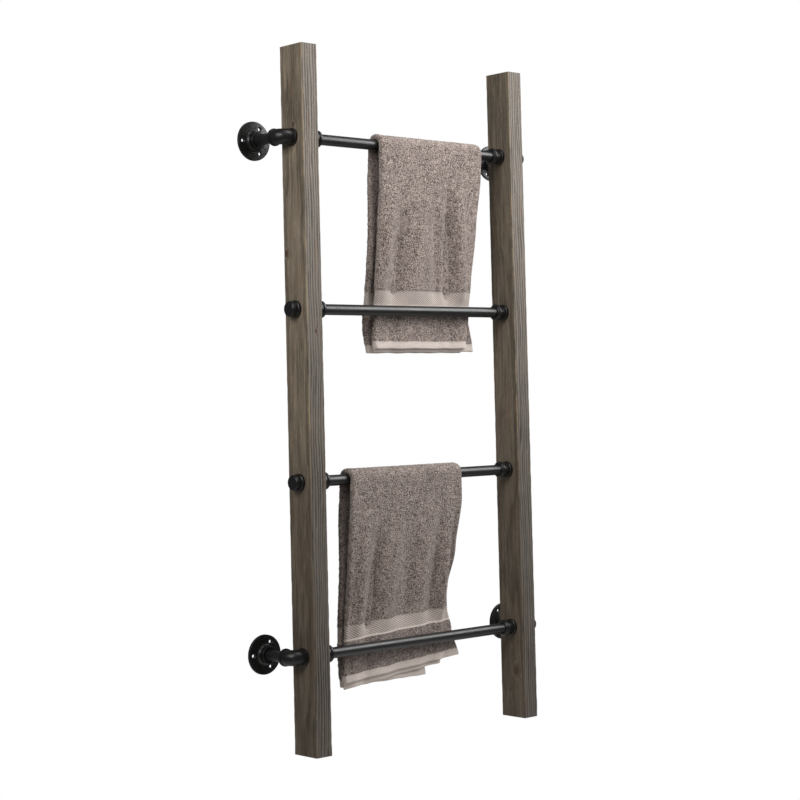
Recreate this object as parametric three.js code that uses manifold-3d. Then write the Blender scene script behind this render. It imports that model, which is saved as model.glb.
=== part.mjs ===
// A wall-mounted ladder towel rack. Two timber posts carry four steel pipe rungs. Each rung screws
// into a coupling at either post, a nipple goes on through the post, and a fitting clamps the post
// from outside: a cap on the middle rungs, and on the end rungs an elbow whose wall arm stands in a
// floor flange. Two folded towels hang over the first and the third rung and slide along them.
//
// Millimetres. +X runs along the rungs to the right, +Y goes into the wall, +Z is up. The origin is
// in the wall's plane, midway between the four flanges.

import * as THREE from 'three';
import { mergeVertices } from 'three/addons/utils/BufferGeometryUtils.js';
import Module from 'manifold-3d';

// Rack layout
const RUNG_COUNT = 4;
const RUNG_PITCH = 330;
const CLEAR_WIDTH = 525; // between the posts' inner faces
const STANDOFF = 90; // from the wall to the rungs' axes
const ARM_RUNGS = [1, RUNG_COUNT]; // these rungs end in elbows and wall arms, the others in caps

// Posts
const POST_WIDTH = 38;
const POST_DEPTH = 66;
const POST_ABOVE = 178; // above the top rung's axis
const POST_BELOW = 187; // below the bottom rung's axis
const POST_BORE_RADIUS = 11;

// Half-inch pipe
const PIPE_RADIUS = 10.65;
const PIPE_INNER_RADIUS = 7.9;
const THREAD_ENTRY = 11; // how far a pipe goes into a fitting

// Fittings
const GAP = 0.3; // between touching pieces
const SOCKET_RADIUS = PIPE_RADIUS + GAP;
const BEAD_RADIUS = 17;
const BEAD_WIDTH = 5;
const BEAD_EDGE = 1; // chamfer on the bead's corners
const BODY_RADIUS = 15.2;
const COUPLING_LENGTH = 28;
const COUPLING_MOUTH_RADIUS = 12.8;
const MOUTH_TAPER = 4; // length along the coupling from its second bead to its mouth
const MOUTH_SLOPE = 2; // length from the coupling's body up to its second bead
const CAP_LENGTH = 19;
const CAP_END_RADIUS = 12.5;
const CAP_EDGE = 2; // chamfer round the cap's closed end
const ELBOW_REACH = 25; // from the corner of the two axes to either end face
const ELBOW_BEND_RADIUS = 16;
const ELBOW_BEAD_ROOT = 0.4; // the bead's foot starts this far inside the elbow's body

// Wall flanges
const FLANGE_RADIUS = 38.5;
const FLANGE_THICKNESS = 5;
const FLANGE_EDGE = 1.2;
const HUB_HEIGHT = 19;
const HUB_BASE_RADIUS = 20;
const HUB_WAIST_RADIUS = 16;
const HUB_FOOT = 4; // height of the slope from the disc up to the hub's waist
const SCREW_COUNT = 3;
const SCREW_CIRCLE_RADIUS = 27.5;
const SCREW_HOLE_RADIUS = 3.2;

// Towels, each folded once lengthwise, so that every flap is two layers of terry
const TOWEL_WIDTH = 290;
const TOWEL_THICKNESS = 10;
const TOWEL_DROP = 412; // from the rung's axis down to the hems
const TOWEL_CLEARANCE = 0.6;
const FLAP_SPACE = 1; // between the front and back flap where they hang together
const FLAPS_MEET = 215; // below the rung's axis
const UPPER_TOWEL = { rung: 1, x: 47 };
const LOWER_TOWEL = { rung: 3, x: -38 };

// Facets round a circle
const ROUND = 20;
const FLANGE_ROUND = 30;
const HOLE_ROUND = 12;
const BEND_STATIONS = 9; // sections along an elbow
const QUARTER_HANDLE = 0.5523; // a Bezier curve's handle, as a share of its quarter circle's radius

const WELD = 1e-4; // points closer than this are one point
const OVERSHOOT = 1; // how far a cutting shape reaches past the face that it cuts

const TIMBER = { color: 0x6b6056, roughness: 0.85, metalness: 0 };
const PIPE_BLACK = { color: 0x1c1c1d, roughness: 0.4, metalness: 0.4 };
const IRON_BLACK = { color: 0x161616, roughness: 0.6, metalness: 0.3 };
const TERRY = { color: 0x8b7d77, roughness: 0.95, metalness: 0 };

const SIDES = { left: -1, right: 1 };
const POST_INNER = CLEAR_WIDTH / 2;
const POST_OUTER = POST_INNER + POST_WIDTH;
const ARM_X = POST_OUTER + GAP + ELBOW_REACH;

const wasm = await Module();
wasm.setup();

function rungHeight(number) {
  return ((RUNG_COUNT + 1) / 2 - number) * RUNG_PITCH;
}

// Booleans

function toSolid(geometry) {
  const bare = geometry.clone();
  bare.deleteAttribute('normal');
  bare.deleteAttribute('uv');
  const merged = mergeVertices(bare, WELD);
  const vertProperties = new Float32Array(merged.attributes.position.array);
  const triVerts = new Uint32Array(merged.index.array);
  return new wasm.Manifold(new wasm.Mesh({ numProp: 3, vertProperties, triVerts }));
}

function toGeometry(solid) {
  const mesh = solid.getMesh();
  const geometry = new THREE.BufferGeometry();
  geometry.setAttribute('position', new THREE.BufferAttribute(mesh.vertProperties, 3));
  geometry.setIndex(new THREE.BufferAttribute(mesh.triVerts, 1));
  geometry.computeVertexNormals();
  return geometry;
}

// Turned shapes: a profile of [radius, distance along the axis] points, turned about +X

function turned(points, round = ROUND) {
  const profile = points.map(([radius, along]) => new THREE.Vector2(radius, along));
  return new THREE.LatheGeometry(profile, round).rotateZ(-Math.PI / 2);
}

function tube(length) {
  const half = length / 2;
  return turned([
    [PIPE_INNER_RADIUS, -half],
    [PIPE_RADIUS, -half],
    [PIPE_RADIUS, half],
    [PIPE_INNER_RADIUS, half],
    [PIPE_INNER_RADIUS, -half],
  ]);
}

// The bead round a fitting's open end at 0, and the slope down from it to the fitting's body.
const END_BEAD = [
  [SOCKET_RADIUS, 0],
  [BEAD_RADIUS - BEAD_EDGE, 0],
  [BEAD_RADIUS, BEAD_EDGE],
  [BEAD_RADIUS, BEAD_WIDTH - BEAD_EDGE],
  [BODY_RADIUS, BEAD_WIDTH + BEAD_EDGE],
];

// A coupling from its post face at 0 out to its tapered mouth.
function couplingGeometry() {
  const secondBeadEnd = COUPLING_LENGTH - MOUTH_TAPER;
  const secondBeadStart = secondBeadEnd - BEAD_WIDTH + BEAD_EDGE;
  return turned([
    ...END_BEAD,
    [BODY_RADIUS, secondBeadStart - MOUTH_SLOPE],
    [BEAD_RADIUS, secondBeadStart],
    [BEAD_RADIUS, secondBeadEnd],
    [COUPLING_MOUTH_RADIUS, COUPLING_LENGTH],
    [SOCKET_RADIUS, COUPLING_LENGTH],
    [SOCKET_RADIUS, 0],
  ]);
}

// A blind cap from its post face at 0 out to its closed end.
function capGeometry() {
  const floor = THREAD_ENTRY + GAP;
  return turned([
    [0, floor],
    [SOCKET_RADIUS, floor],
    ...END_BEAD,
    [BODY_RADIUS, CAP_LENGTH - CAP_EDGE],
    [CAP_END_RADIUS, CAP_LENGTH],
    [0, CAP_LENGTH],
  ]);
}

// A quarter bend between two straight ends, from `start` on the +X axis to `start` on the +Y axis.
function bendPath(start) {
  const radius = ELBOW_BEND_RADIUS;
  const ease = radius * (1 - QUARTER_HANDLE);
  const at = (x, y) => new THREE.Vector3(x, y, 0);
  const path = new THREE.CurvePath();
  path.add(new THREE.LineCurve3(at(start, 0), at(radius, 0)));
  path.add(new THREE.CubicBezierCurve3(at(radius, 0), at(ease, 0), at(0, ease), at(0, radius)));
  path.add(new THREE.LineCurve3(at(0, radius), at(0, start)));
  return path;
}

function bentRod(radius, start, round) {
  const section = new THREE.Shape().absarc(0, 0, radius, 0, 2 * Math.PI);
  const options = {
    steps: BEND_STATIONS,
    curveSegments: round / 2,
    bevelEnabled: false,
    extrudePath: bendPath(start),
  };
  return toSolid(new THREE.ExtrudeGeometry(section, options));
}

// The elbow's corner is at the origin, and its sockets open towards +X and +Y.
function elbowGeometry() {
  const beadStart = ELBOW_REACH - BEAD_WIDTH;
  const socketFloor = ELBOW_REACH - THREAD_ENTRY - GAP;
  const bead = turned([
    [0, beadStart - BEAD_EDGE],
    [BODY_RADIUS - ELBOW_BEAD_ROOT, beadStart - BEAD_EDGE],
    [BEAD_RADIUS, beadStart + BEAD_EDGE],
    [BEAD_RADIUS, ELBOW_REACH - BEAD_EDGE],
    [BEAD_RADIUS - BEAD_EDGE, ELBOW_REACH],
    [0, ELBOW_REACH],
  ]);
  const socket = turned([
    [0, socketFloor],
    [SOCKET_RADIUS, socketFloor],
    [SOCKET_RADIUS, ELBOW_REACH + OVERSHOOT],
    [0, ELBOW_REACH + OVERSHOOT],
  ]);
  const quarter = Math.PI / 2;
  const body = bentRod(BODY_RADIUS, ELBOW_REACH - BEAD_EDGE, ROUND)
    .add(toSolid(bead))
    .add(toSolid(bead.clone().rotateZ(quarter)));
  const hollow = bentRod(PIPE_INNER_RADIUS, ELBOW_REACH, HOLE_ROUND)
    .add(toSolid(socket))
    .add(toSolid(socket.clone().rotateZ(quarter)));
  return toGeometry(body.subtract(hollow));
}

// One screw hole's cutter, reaching past both faces of the flange's disc.
function screwHole(angle) {
  const cutter = turned(
    [
      [0, -OVERSHOOT],
      [SCREW_HOLE_RADIUS, -OVERSHOOT],
      [SCREW_HOLE_RADIUS, FLANGE_THICKNESS + OVERSHOOT],
      [0, FLANGE_THICKNESS + OVERSHOOT],
    ],
    HOLE_ROUND,
  );
  const across = SCREW_CIRCLE_RADIUS * Math.cos(angle);
  const up = SCREW_CIRCLE_RADIUS * Math.sin(angle);
  return toSolid(cutter.translate(0, across, up));
}

// A flange standing out of the wall along +X, with its back face at 0 and its hub bored through.
function flangeGeometry() {
  const hubBead = HUB_HEIGHT - BEAD_WIDTH;
  const disc = turned(
    [
      [SOCKET_RADIUS, 0],
      [FLANGE_RADIUS, 0],
      [FLANGE_RADIUS, FLANGE_THICKNESS - FLANGE_EDGE],
      [FLANGE_RADIUS - FLANGE_EDGE, FLANGE_THICKNESS],
      [HUB_BASE_RADIUS, FLANGE_THICKNESS],
      [HUB_WAIST_RADIUS, FLANGE_THICKNESS + HUB_FOOT],
      [HUB_WAIST_RADIUS, hubBead],
      [BEAD_RADIUS, hubBead + BEAD_EDGE],
      [BEAD_RADIUS, HUB_HEIGHT - BEAD_EDGE],
      [BEAD_RADIUS - BEAD_EDGE, HUB_HEIGHT],
      [SOCKET_RADIUS, HUB_HEIGHT],
      [SOCKET_RADIUS, 0],
    ],
    FLANGE_ROUND,
  );
  let solid = toSolid(disc);
  for (let index = 0; index < SCREW_COUNT; index += 1) {
    solid = solid.subtract(screwHole((2 * Math.PI * index) / SCREW_COUNT));
  }
  return toGeometry(solid);
}

// A post seen from its side, bored across for each rung, and extruded along +X from 0.
function postGeometry() {
  const top = rungHeight(1) + POST_ABOVE;
  const bottom = rungHeight(RUNG_COUNT) - POST_BELOW;
  const outline = new THREE.Shape([
    new THREE.Vector2(-POST_DEPTH / 2, bottom),
    new THREE.Vector2(POST_DEPTH / 2, bottom),
    new THREE.Vector2(POST_DEPTH / 2, top),
    new THREE.Vector2(-POST_DEPTH / 2, top),
  ]);
  for (let number = 1; number <= RUNG_COUNT; number += 1) {
    const bore = new THREE.Path().absarc(0, rungHeight(number), POST_BORE_RADIUS, 0, 2 * Math.PI);
    outline.holes.push(bore);
  }
  const options = { depth: POST_WIDTH, bevelEnabled: false, curveSegments: ROUND / 2 };
  return alongRungs(new THREE.ExtrudeGeometry(outline, options));
}

// Turns a section drawn as (Y, Z) and extruded along its own depth so that the depth lies along +X.
function alongRungs(geometry) {
  return geometry.rotateX(Math.PI / 2).rotateZ(Math.PI / 2);
}

// A towel's section about its rung's axis. Both flaps pass behind the next rung down: that rung
// holds the front flap back, and the front flap holds the back one.
function towelGeometry() {
  const inner = PIPE_RADIUS + TOWEL_CLEARANCE;
  const outer = inner + TOWEL_THICKNESS;
  const frontHeld = inner;
  const backHeld = frontHeld + TOWEL_THICKNESS + FLAP_SPACE;
  const section = new THREE.Shape();
  section.moveTo(frontHeld, -TOWEL_DROP);
  section.lineTo(frontHeld + TOWEL_THICKNESS, -TOWEL_DROP);
  section.lineTo(frontHeld + TOWEL_THICKNESS, -RUNG_PITCH);
  section.lineTo(-inner, 0);
  section.absarc(0, 0, inner, Math.PI, 0, true);
  section.lineTo(inner, -FLAPS_MEET);
  section.lineTo(backHeld, -RUNG_PITCH);
  section.lineTo(backHeld, -TOWEL_DROP);
  section.lineTo(backHeld + TOWEL_THICKNESS, -TOWEL_DROP);
  section.lineTo(backHeld + TOWEL_THICKNESS, -RUNG_PITCH);
  section.lineTo(outer, -FLAPS_MEET);
  section.lineTo(outer, 0);
  section.absarc(0, 0, outer, 0, Math.PI, false);
  section.lineTo(frontHeld, -RUNG_PITCH);
  section.closePath();
  const options = { depth: TOWEL_WIDTH, bevelEnabled: false, curveSegments: ROUND / 2 };
  return alongRungs(new THREE.ExtrudeGeometry(section, options)).translate(-TOWEL_WIDTH / 2, 0, 0);
}

// Assembly

const rack = new THREE.Group();

function piece(name, geometry, look, parent) {
  const mesh = new THREE.Mesh(geometry, new THREE.MeshStandardMaterial(look));
  mesh.name = name;
  parent.add(mesh);
  return mesh;
}

// A group on one rung's axis at one side, where +X points out of the rack.
function endGroup(side, number) {
  const group = new THREE.Group();
  group.position.set(0, -STANDOFF, rungHeight(number));
  group.rotation.z = SIDES[side] > 0 ? 0 : Math.PI;
  rack.add(group);
  return group;
}

function addPosts() {
  for (const [side, sign] of Object.entries(SIDES)) {
    const post = piece(`post_${side}`, postGeometry(), TIMBER, rack);
    post.position.set(sign > 0 ? POST_INNER : -POST_OUTER, -STANDOFF, 0);
  }
}

function addRung(number) {
  const length = 2 * (POST_INNER - GAP - COUPLING_LENGTH + THREAD_ENTRY);
  const rung = piece(`rung_${number}`, tube(length), PIPE_BLACK, rack);
  rung.position.set(0, -STANDOFF, rungHeight(number));
}

function addCoupling(side, number, group) {
  const coupling = piece(`coupling_${side}_${number}`, couplingGeometry(), IRON_BLACK, group);
  coupling.position.x = POST_INNER - GAP;
  coupling.rotation.y = Math.PI;
}

// The nipple reaches from the coupling, through the post, to the cap or elbow outside.
function addPostNipple(side, number, group) {
  const length = POST_WIDTH + 2 * (GAP + THREAD_ENTRY);
  const nipple = piece(`nipple_${side}_${number}`, tube(length), PIPE_BLACK, group);
  nipple.position.x = (POST_INNER + POST_OUTER) / 2;
}

function addCap(side, number, group) {
  const cap = piece(`cap_${side}_${number}`, capGeometry(), IRON_BLACK, group);
  cap.position.x = POST_OUTER + GAP;
}

// The wall arm lies along the world's +Y, so it is placed outside the end group's turn.
function addWallArm(side, number) {
  const sign = SIDES[side];
  const height = rungHeight(number);
  const elbow = piece(`elbow_${side}_${number}`, elbowGeometry(), IRON_BLACK, rack);
  elbow.position.set(sign * ARM_X, -STANDOFF, height);
  elbow.rotation.z = sign > 0 ? Math.PI / 2 : 0;

  const elbowFace = STANDOFF - ELBOW_REACH;
  const armLength = elbowFace + THREAD_ENTRY - GAP;
  const arm = piece(`wall_arm_${side}_${number}`, tube(armLength), PIPE_BLACK, rack);
  arm.position.set(sign * ARM_X, -GAP - armLength / 2, height);
  arm.rotation.z = Math.PI / 2;

  const flange = piece(`flange_${side}_${number}`, flangeGeometry(), IRON_BLACK, rack);
  flange.position.set(sign * ARM_X, 0, height);
  flange.rotation.set(sign > 0 ? 0 : Math.PI, 0, -Math.PI / 2, 'ZYX');
}

function addEnd(side, number) {
  const group = endGroup(side, number);
  addCoupling(side, number, group);
  addPostNipple(side, number, group);
  if (ARM_RUNGS.includes(number)) {
    addWallArm(side, number);
  } else {
    addCap(side, number, group);
  }
}

function addTowel(name, towel) {
  const mesh = piece(name, towelGeometry(), TERRY, rack);
  mesh.position.set(towel.x, -STANDOFF, rungHeight(towel.rung));
}

addPosts();
for (let number = 1; number <= RUNG_COUNT; number += 1) {
  addRung(number);
  for (const side of Object.keys(SIDES)) {
    addEnd(side, number);
  }
}
addTowel('upper_towel', UPPER_TOWEL);
addTowel('lower_towel', LOWER_TOWEL);

export default rack;
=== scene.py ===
"""Looks for the ladder towel rack: stained timber posts, black pipe and cast fittings, terry towels.

Metres, in the CAD frame: +X along the rungs to the right, +Y into the wall, +Z up. Every piece takes
its place and its size from the CAD nodes.
"""

import math

import bmesh
import bpy
import numpy as np
from mathutils import Matrix, Vector, noise


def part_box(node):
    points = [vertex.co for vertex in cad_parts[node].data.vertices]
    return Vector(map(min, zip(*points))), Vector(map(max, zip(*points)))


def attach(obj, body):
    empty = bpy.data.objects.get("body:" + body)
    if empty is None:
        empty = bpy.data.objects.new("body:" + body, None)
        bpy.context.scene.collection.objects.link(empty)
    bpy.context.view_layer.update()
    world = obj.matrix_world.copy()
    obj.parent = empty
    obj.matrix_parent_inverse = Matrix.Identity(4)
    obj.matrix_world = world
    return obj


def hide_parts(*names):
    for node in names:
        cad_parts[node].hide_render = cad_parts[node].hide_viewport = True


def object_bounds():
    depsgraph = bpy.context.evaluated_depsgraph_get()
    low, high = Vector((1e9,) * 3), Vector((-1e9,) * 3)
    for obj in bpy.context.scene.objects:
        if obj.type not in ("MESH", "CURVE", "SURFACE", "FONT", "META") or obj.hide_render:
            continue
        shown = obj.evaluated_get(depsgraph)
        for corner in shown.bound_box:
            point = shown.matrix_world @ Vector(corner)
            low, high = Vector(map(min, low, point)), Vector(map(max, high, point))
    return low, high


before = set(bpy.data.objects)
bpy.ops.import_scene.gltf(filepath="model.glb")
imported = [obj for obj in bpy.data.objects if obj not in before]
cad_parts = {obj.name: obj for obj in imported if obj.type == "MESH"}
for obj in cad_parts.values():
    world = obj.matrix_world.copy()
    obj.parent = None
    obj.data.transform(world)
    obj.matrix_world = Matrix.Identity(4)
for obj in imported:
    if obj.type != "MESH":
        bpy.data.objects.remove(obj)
CAD_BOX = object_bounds()

RUNGS = (1, 2, 3, 4)
ARM_RUNGS = (1, 4)
SIDES = {"left": -1, "right": 1}

# Camera and light
CAMERA_PLACE = Vector((-2.5345, -2.8323, -0.0053))
CAMERA_HEADING = math.radians(42.37)  # from +Y towards +X
CAMERA_TILT = math.radians(2.17)
CAMERA_ROLL = math.radians(-1.384)
CAMERA_LENS = 83.41
CAMERA_SENSOR = 36
CAMERA_SHIFT_Y = -0.0929
FLOOR_DROP = 0.6  # from the posts' lower ends to the floor
FLOOR_SIZE = 2.8
AMBIENT = 0.17

# Pipe and fittings, half-inch
PIPE_WALL = 0.00275
SOCKET_GAP = 0.0003
SOCKET_DEPTH = 0.0113
BEAD_WIDTH = 0.005
BEAD_SLOPE = 0.001  # length of the slope from a bead down to the body
BODY_RADIUS = 0.0152
MOUTH_RADIUS = 0.0128
MOUTH_TAPER = 0.004
MOUTH_SLOPE = 0.002
CAP_END_RADIUS = 0.0125
CAP_EDGE = 0.002
BEND_RADIUS = 0.016
FLANGE_THICKNESS = 0.005
HUB_BASE_RADIUS = 0.020
HUB_WAIST_RADIUS = 0.016
HUB_FOOT = 0.004
SCREW_CIRCLE = 0.0275
SCREW_HOLE = 0.0032
SCREW_COUNTERSINK = 0.0047
SCREW_COUNT = 3
ROUND = 72  # segments round a turned piece
AXIS_TIP = 0.00001  # a ring this small closes a turned end on its axis
PAST = 0.001  # how far a cutting shape reaches past the face that it cuts

# Posts
POST_BORE = 0.011
POST_EDGE = 0.0013
POST_ROW = 0.004
SECTION_STEP = 0.0028
EDGE_CHIP = 0.0005
RING_WIDTH = 0.0058
PITH_OUT = 0.12  # the rings' centre, outwards and backwards from the post's middle
PITH_BACK = 0.004
CHIP_WAVES = 45  # unevenness of the corners, waves per metre

# Stain on the posts: the darkest and the palest grain of each face, linear red, green and blue. The
# low tones, at the foot, hold painted shade, and the high ones, up the post, hold painted light from
# above.
FRONT_SHADED_LOW = ((0.013, 0.0115, 0.01), (0.128, 0.108, 0.09))
FRONT_LIT_HIGH = ((0.019, 0.0175, 0.016), (0.258, 0.222, 0.187))
SIDE_SHADED_LOW = ((0.033, 0.025, 0.016), (0.165, 0.130, 0.095))
SIDE_LIT_HIGH = ((0.065, 0.051, 0.034), (0.36, 0.292, 0.213))
WARM_STAIN_AND_SHADE = ((0.09, 0.055, 0.03), (0.17, 0.105, 0.062))  # warm patches, at the foot in painted shade and higher up in painted light
WORN_WOOD_AND_SHADE = ((0.16, 0.11, 0.07), (0.38, 0.28, 0.18))  # bare corners, at the foot in painted shade and higher up in painted light
KNOT_STAIN = (0.06, 0.03, 0.018)
FRONT_LIGHT_FADE = (-0.5, 0.55)  # heights between which the front's stain changes from its painted shade low down to its painted light higher up
# Heights of the same painted change from shade to light on the side faces
SIDE_LIGHT_FADE = (-0.36, 0.02)
SIDE_SHADE_GAINS = {"left": (1.1, 0.95), "right": (1.15, 0.7)}  # gains on each post's side tones, low and high: painted light and shade that differ from post to post
GRAIN_WEIGHTS = {"fibres": 0.45, "threads": 0.65, "blotch": 0.6, "fleck": 0.3, "pores": -0.35}
RELIEF_WEIGHTS = {"fibres": 0.6, "threads": 0.6, "pores": -0.6}

# Knots: the face, the place across it, the nearest rung, the height over that rung and the radius
KNOTS = {
    "left": [
        ("side", 0.03, 1, 0.024, 0.0032),
        ("side", 0.058, 2, 0.108, 0.004),
        ("front", 0.021, 2, -0.043, 0.0024),
    ],
    "right": [("side", 0.022, 4, -0.09, 0.006)],
}

# Towels. Each is folded once lengthwise, so every flap is two layers of terry.
TERRY_THICKNESS = 0.0046
FLAT_THICKNESS = 0.0026
LAYER_SPACE = 0.0052  # between the two layers' middles
FOLD_PUFF = 0.0016
HEM_HEIGHT = 0.016
BAND_LOW = 0.087
BAND_HIGH = 0.121
TOWEL_STEP = 0.0032
STACK_MIDDLE = 0.01625  # from the rung's axis to the middle of the two layers
BACK_HELD = 0.02725
FLAPS_MEET = 0.215
PUFF_REACH = 0.012
CREASE_GAIN = 1.35
CREASE_STARTS = (0.02, 0.2)  # depths below the rung between which the creases grow
SWELL = 0.0026
SWELL_WAVES = (22, 11, 0)
SWELL_STARTS = (0.01, 0.08)
HELD_FLAT = (0.29, 0.325)  # depths where the next rung down begins to hold the cloth flat
HELD_CREASES = 0.7  # share of the creases that is gone there
HELD_SWELL = 0.4
BACK_LIFT = 0.5  # share of the front's creases that the back flap has
HEM_WAVER = 0.0012
HEM_WAVES = (34, 0, 0)
PILE_LUMP = 0.45
PILE_WAVES = (170, 170, 170)
RIM_SHARES = (0.45, 0.9)  # thickness of the cloth's outermost rows, over its own

# Terry: dark and pale pile, the dark tone being painted shade in the gaps between the loops, and dark
# and pale weave, linear red, green and blue
PILE_TONES_WITH_SHADE = ((0.06, 0.042, 0.035), (0.56, 0.452, 0.402))
WEAVE_TONES = ((0.2, 0.16, 0.14), (0.8, 0.7, 0.635))
SELVEDGE = 0.003  # plain edge below the twill band
FLAT_EDGE = 0.0004  # half the width of the change from pile to flat weave
HEM_RIBS = 0.6  # share of the ribs' depth that is missing in the hems
TWILL_SLANT = 0.62

# Studio lights: place, target, size in metres and power in watts
SOFTBOXES = {
    "key": ((1.8, -1.5, 1.35), (0, -0.1, 0.1), (1.6, 1.6), 67),
    "top": ((0.1, -1.0, 1.8), (0, -0.1, 0.3), (1.2, 0.8), 18),
    "fill": ((-2.3, -0.9, 1.2), (0, -0.1, 0.1), (1.2, 1.2), 36),
}


def box_height(node):
    low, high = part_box(node)
    return high.z - low.z


PIPE_RADIUS = box_height("rung_1") / 2
SOCKET_RADIUS = PIPE_RADIUS + SOCKET_GAP
BEAD_RADIUS = box_height("coupling_left_1") / 2


# Meshes


def new_object(name, vertices, faces):
    mesh = bpy.data.meshes.new(name)
    mesh.from_pydata([tuple(v) for v in vertices], [], [tuple(f) for f in faces])
    mesh.update()
    obj = bpy.data.objects.new(name, mesh)
    bpy.context.scene.collection.objects.link(obj)
    return obj


def tidy_mesh(obj, crease=math.radians(38)):
    """Joins coincident points, turns the faces outwards and shades them smooth up to a crease."""
    mesh = bmesh.new()
    mesh.from_mesh(obj.data)
    bmesh.ops.remove_doubles(mesh, verts=mesh.verts, dist=1e-6)
    bmesh.ops.recalc_face_normals(mesh, faces=mesh.faces)
    mesh.to_mesh(obj.data)
    mesh.free()
    obj.data.shade_smooth()
    obj.data.set_sharp_from_angle(angle=crease)


def rounded(profile, steps=4):
    """Rounds a profile of (radius, along, corner) points, where corner is the rounding's reach."""
    out = []
    count = len(profile)
    for index, (radius, along, corner) in enumerate(profile):
        here = Vector((radius, along))
        if corner == 0:
            out.append(here)
            continue
        before = Vector(profile[index - 1][:2])
        after = Vector(profile[(index + 1) % count][:2])
        start = here + (before - here).normalized() * corner
        end = here + (after - here).normalized() * corner
        for step in range(steps + 1):
            t = step / steps
            out.append(start * (1 - t) ** 2 + here * 2 * t * (1 - t) + end * t**2)
    return out


def turned(name, profile, matrix):
    """A closed body turned about +X from a profile that closes on itself, then placed."""
    points = rounded(profile)
    vertices = []
    for radius, along in points:
        for step in range(ROUND):
            angle = math.tau * step / ROUND
            point = Vector((along, radius * math.cos(angle), radius * math.sin(angle)))
            vertices.append(matrix @ point)
    obj = new_object(name, vertices, grid_faces(len(points), ROUND))
    tidy_mesh(obj)
    return obj


def grid_faces(rows, columns):
    """Quads of a grid of points that closes on itself both ways."""
    faces = []
    for row in range(rows):
        below = (row + 1) % rows
        for column in range(columns):
            right = (column + 1) % columns
            corners = (row * columns + column, row * columns + right)
            faces.append((*corners, below * columns + right, below * columns + column))
    return faces


def cut(obj, tools):
    """Cuts the tool objects out of obj and removes them."""
    for tool in tools:
        modifier = obj.modifiers.new("cut", "BOOLEAN")
        modifier.operation = "DIFFERENCE"
        modifier.solver = "EXACT"
        modifier.object = tool
    graph = bpy.context.evaluated_depsgraph_get()
    mesh = bpy.data.meshes.new_from_object(obj.evaluated_get(graph))
    obj.modifiers.clear()
    obj.data = mesh
    for tool in tools:
        bpy.data.objects.remove(tool)


def finish_piece(obj, body, node, material):
    obj.data.materials.clear()
    obj.data.materials.append(material)
    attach(obj, body)
    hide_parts(node)


# Placing


def facing(place, direction):
    """A matrix that puts a piece's own +X along a direction, starting at place."""
    turn = Vector(direction).to_track_quat("X", "Z").to_matrix().to_4x4()
    return Matrix.Translation(place) @ turn


def middle(node):
    low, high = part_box(node)
    return (low + high) / 2


# Node materials


SHADER_SOCKETS = {
    "base_color": "Base Color",
    "roughness": "Roughness",
    "specular": "Specular IOR Level",
    "sheen": "Sheen Weight",
    "sheen_roughness": "Sheen Roughness",
}


class Look:
    """A node material under construction."""

    def __init__(self, name):
        self.material = bpy.data.materials.new(name)
        self.material.use_nodes = True
        self.tree = self.material.node_tree
        self.shader = self.tree.nodes["Principled BSDF"]
        self.place = self.add("ShaderNodeTexCoord").outputs["Object"]

    def feed(self, socket, value):
        if isinstance(value, bpy.types.NodeSocket):
            self.tree.links.new(value, socket)
        else:
            socket.default_value = value

    def add(self, kind, inputs=None, **settings):
        node = self.tree.nodes.new(kind)
        for key, value in settings.items():
            setattr(node, key, value)
        for key, value in (inputs or {}).items():
            self.feed(node.inputs[key], value)
        return node

    def math(self, operation, *values):
        node = self.add("ShaderNodeMath", operation=operation)
        for socket, value in zip(node.inputs, values):
            self.feed(socket, value)
        return node.outputs[0]

    def vector(self, operation, *values):
        node = self.add("ShaderNodeVectorMath", operation=operation)
        for socket, value in zip(node.inputs, values):
            self.feed(socket, value)
        return node.outputs["Value" if operation == "LENGTH" else "Vector"]

    def split(self, vector):
        return self.add("ShaderNodeSeparateXYZ", {"Vector": vector}).outputs

    def stretched(self, x, y, z):
        return self.vector("MULTIPLY", self.place, (x, y, z))

    def total(self, *terms):
        """The sum of (value, weight) pairs."""
        result = None
        for value, weight in terms:
            part = self.math("MULTIPLY", value, weight)
            result = part if result is None else self.math("ADD", result, part)
        return result

    def noise(self, vector, scale=1.0, detail=2.0, roughness=0.5):
        values = {"Vector": vector, "Scale": scale, "Detail": detail, "Roughness": roughness}
        return self.add("ShaderNodeTexNoise", values).outputs["Fac"]

    def ramp(self, value, low, high, out_low=0.0, out_high=1.0, smooth=True):
        kind = "SMOOTHSTEP" if smooth else "LINEAR"
        values = {
            "Value": value,
            "From Min": low,
            "From Max": high,
            "To Min": out_low,
            "To Max": out_high,
        }
        return self.add("ShaderNodeMapRange", values, interpolation_type=kind).outputs[0]

    def mix(self, factor, first, second):
        node = self.add("ShaderNodeMix", data_type="RGBA")
        self.feed(node.inputs[0], factor)
        self.feed(node.inputs[6], first)
        self.feed(node.inputs[7], second)
        return node.outputs[2]

    def between(self, factor, tones, gain=1.0):
        """A colour between the dark and the pale one of a pair."""
        dark, pale = tones
        return self.mix(factor, shade(dark, gain), shade(pale, gain))

    def bump(self, height, distance, strength):
        values = {"Height": height, "Distance": distance, "Strength": strength}
        normal = self.add("ShaderNodeBump", values).outputs["Normal"]
        self.feed(self.shader.inputs["Normal"], normal)

    def set(self, **values):
        for key, value in values.items():
            self.feed(self.shader.inputs[SHADER_SOCKETS[key]], value)


def colour(red, green, blue):
    return (red, green, blue, 1.0)


def shade(rgb, gain):
    return colour(*(value * gain for value in rgb))


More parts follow.
